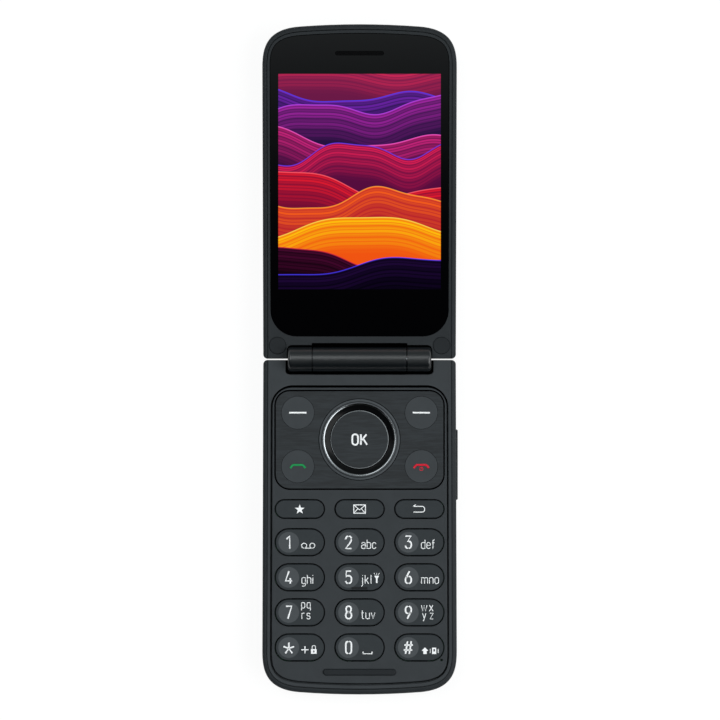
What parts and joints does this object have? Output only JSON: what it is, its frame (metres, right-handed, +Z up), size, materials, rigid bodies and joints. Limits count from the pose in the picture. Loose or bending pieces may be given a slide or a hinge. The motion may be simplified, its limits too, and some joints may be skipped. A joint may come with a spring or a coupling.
{
  "type": "folding keypad telephone",
  "caption": "Folding mobile telephone, open flat: screen half hinged to a keypad half with navigation ring, pill-shaped number keys, side rocker, audio jack and charging socket.",
  "frame": {"origin": "on the table under the middle of the hinge axis, which is the middle of the open telephone", "axes": "+X to the right across the telephone, +Y from the hinge towards the screen end, +Z up out of the screen and keys"},
  "size_m": [0.0587, 0.2012, 0.0144],
  "materials": {
    "housing": "fine matte moulding",
    "front_frame": "soft matte moulding",
    "panel": "soft matte moulding",
    "brushed_plate": "fine brushed print",
    "key_cap": "satin key cap",
    "corner_key": "satin key cap",
    "ring_gloss": "polished dark ring",
    "side_key": "satin key",
    "hinge_gloss": "polished barrel",
    "rubber": "soft rubber",
    "black_glass": "polished black glass",
    "display": "display stack",
    "clear_lens": "clear lens",
    "board": "solder resist",
    "battery_case": "wrapped pack",
    "dark_part": "moulded part",
    "metal": "plated steel",
    "copper": "copper on film"
  },
  "bodies": {
    "base": {"base_rear_housing": "housing", "base_front_housing": "front_frame", "battery_cover": "housing", "battery": "battery_case", "keypad_panel": "panel", "nav_plate": "brushed_plate", "closing_bumper": "rubber", "key_mat": "rubber", "dome_sheet": "board", "main_board": "board", "card_holder": "metal", "loudspeaker": "dark_part", "vibration_motor": "metal", "antenna": "copper", "audio_jack": "dark_part", "usb_port": "metal", "volume_switches": "board", "base_screws": "metal", "hinge_barrel": "hinge_gloss", "hinge_spring_unit": "metal", "hinge_flex": "copper"},
    "flip": {"flip_outer_cover": "housing", "flip_front_frame": "front_frame", "screen_glass": "black_glass", "display_module": "display", "earpiece": "dark_part", "earpiece_mesh": "metal", "screw_covers": "rubber", "flip_screws": "metal", "flip_board": "board", "outer_display": "display", "outer_window": "black_glass", "camera_module": "dark_part", "camera_window": "black_glass", "flash_lens": "clear_lens", "hinge_cam": "metal", "hinge_bush": "metal"},
    "key_1": {"key_1": "key_cap"},
    "key_2": {"key_2": "key_cap"},
    "key_3": {"key_3": "key_cap"},
    "key_4": {"key_4": "key_cap"},
    "key_5": {"key_5": "key_cap"},
    "key_6": {"key_6": "key_cap"},
    "key_7": {"key_7": "key_cap"},
    "key_8": {"key_8": "key_cap"},
    "key_9": {"key_9": "key_cap"},
    "key_star": {"key_star": "key_cap"},
    "key_0": {"key_0": "key_cap"},
    "key_hash": {"key_hash": "key_cap"},
    "favourites_key": {"favourites_key": "key_cap"},
    "message_key": {"message_key": "key_cap"},
    "return_key": {"return_key": "key_cap"},
    "left_soft_key": {"left_soft_key": "corner_key"},
    "right_soft_key": {"right_soft_key": "corner_key"},
    "call_key": {"call_key": "corner_key"},
    "end_key": {"end_key": "corner_key"},
    "ok_key": {"ok_key": "brushed_plate"},
    "nav_ring_pad": {"nav_ring_pad": "rubber"},
    "nav_ring": {"nav_ring": "ring_gloss"},
    "volume_rocker": {"volume_rocker": "side_key"}
  },
  "joints": [
    {"name": "flip_hinge", "type": "hinge", "parent": "base", "child": "flip", "pos_m": [0, 0, 0.0108], "axis": [1, 0, 0], "range_deg": [0, 180]},
    {"name": "key_1_press", "type": "slide", "parent": "base", "child": "key_1", "axis": [0, 0, -1], "range_m": [0, 0.00025], "stiffness_N_per_m": 1200},
    {"name": "key_2_press", "type": "slide", "parent": "base", "child": "key_2", "axis": [0, 0, -1], "range_m": [0, 0.00025], "stiffness_N_per_m": 1200},
    {"name": "key_3_press", "type": "slide", "parent": "base", "child": "key_3", "axis": [0, 0, -1], "range_m": [0, 0.00025], "stiffness_N_per_m": 1200},
    {"name": "key_4_press", "type": "slide", "parent": "base", "child": "key_4", "axis": [0, 0, -1], "range_m": [0, 0.00025], "stiffness_N_per_m": 1200},
    {"name": "key_5_press", "type": "slide", "parent": "base", "child": "key_5", "axis": [0, 0, -1], "range_m": [0, 0.00025], "stiffness_N_per_m": 1200},
    {"name": "key_6_press", "type": "slide", "parent": "base", "child": "key_6", "axis": [0, 0, -1], "range_m": [0, 0.00025], "stiffness_N_per_m": 1200},
    {"name": "key_7_press", "type": "slide", "parent": "base", "child": "key_7", "axis": [0, 0, -1], "range_m": [0, 0.00025], "stiffness_N_per_m": 1200},
    {"name": "key_8_press", "type": "slide", "parent": "base", "child": "key_8", "axis": [0, 0, -1], "range_m": [0, 0.00025], "stiffness_N_per_m": 1200},
    {"name": "key_9_press", "type": "slide", "parent": "base", "child": "key_9", "axis": [0, 0, -1], "range_m": [0, 0.00025], "stiffness_N_per_m": 1200},
    {"name": "key_star_press", "type": "slide", "parent": "base", "child": "key_star", "axis": [0, 0, -1], "range_m": [0, 0.00025], "stiffness_N_per_m": 1200},
    {"name": "key_0_press", "type": "slide", "parent": "base", "child": "key_0", "axis": [0, 0, -1], "range_m": [0, 0.00025], "stiffness_N_per_m": 1200},
    {"name": "key_hash_press", "type": "slide", "parent": "base", "child": "key_hash", "axis": [0, 0, -1], "range_m": [0, 0.00025], "stiffness_N_per_m": 1200},
    {"name": "favourites_key_press", "type": "slide", "parent": "base", "child": "favourites_key", "axis": [0, 0, -1], "range_m": [0, 0.00025], "stiffness_N_per_m": 1200},
    {"name": "message_key_press", "type": "slide", "parent": "base", "child": "message_key", "axis": [0, 0, -1], "range_m": [0, 0.00025], "stiffness_N_per_m": 1200},
    {"name": "return_key_press", "type": "slide", "parent": "base", "child": "return_key", "axis": [0, 0, -1], "range_m": [0, 0.00025], "stiffness_N_per_m": 1200},
    {"name": "left_soft_key_press", "type": "slide", "parent": "base", "child": "left_soft_key", "axis": [0, 0, -1], "range_m": [0, 0.00025], "stiffness_N_per_m": 1200},
    {"name": "right_soft_key_press", "type": "slide", "parent": "base", "child": "right_soft_key", "axis": [0, 0, -1], "range_m": [0, 0.00025], "stiffness_N_per_m": 1200},
    {"name": "call_key_press", "type": "slide", "parent": "base", "child": "call_key", "axis": [0, 0, -1], "range_m": [0, 0.00025], "stiffness_N_per_m": 1200},
    {"name": "end_key_press", "type": "slide", "parent": "base", "child": "end_key", "axis": [0, 0, -1], "range_m": [0, 0.00025], "stiffness_N_per_m": 1200},
    {"name": "ok_key_press", "type": "slide", "parent": "base", "child": "ok_key", "axis": [0, 0, -1], "range_m": [0, 0.00025], "stiffness_N_per_m": 1200},
    {"name": "nav_left_right", "type": "hinge", "parent": "base", "child": "nav_ring_pad", "pos_m": [0, -0.02405, 0.0088], "axis": [0, 1, 0], "range_deg": [-1.2, 1.2], "stiffness_Nm_per_rad": 0.3},
    {"name": "nav_up_down", "type": "hinge", "parent": "nav_ring_pad", "child": "nav_ring", "pos_m": [0, -0.02405, 0.0088], "axis": [1, 0, 0], "range_deg": [-1.2, 1.2], "stiffness_Nm_per_rad": 0.3},
    {"name": "volume_rock", "type": "hinge", "parent": "base", "child": "volume_rocker", "pos_m": [0.0275, -0.03165, 0.0062], "axis": [0, 0, 1], "range_deg": [-1.2, 1.2], "stiffness_Nm_per_rad": 0.3}
  ]
}
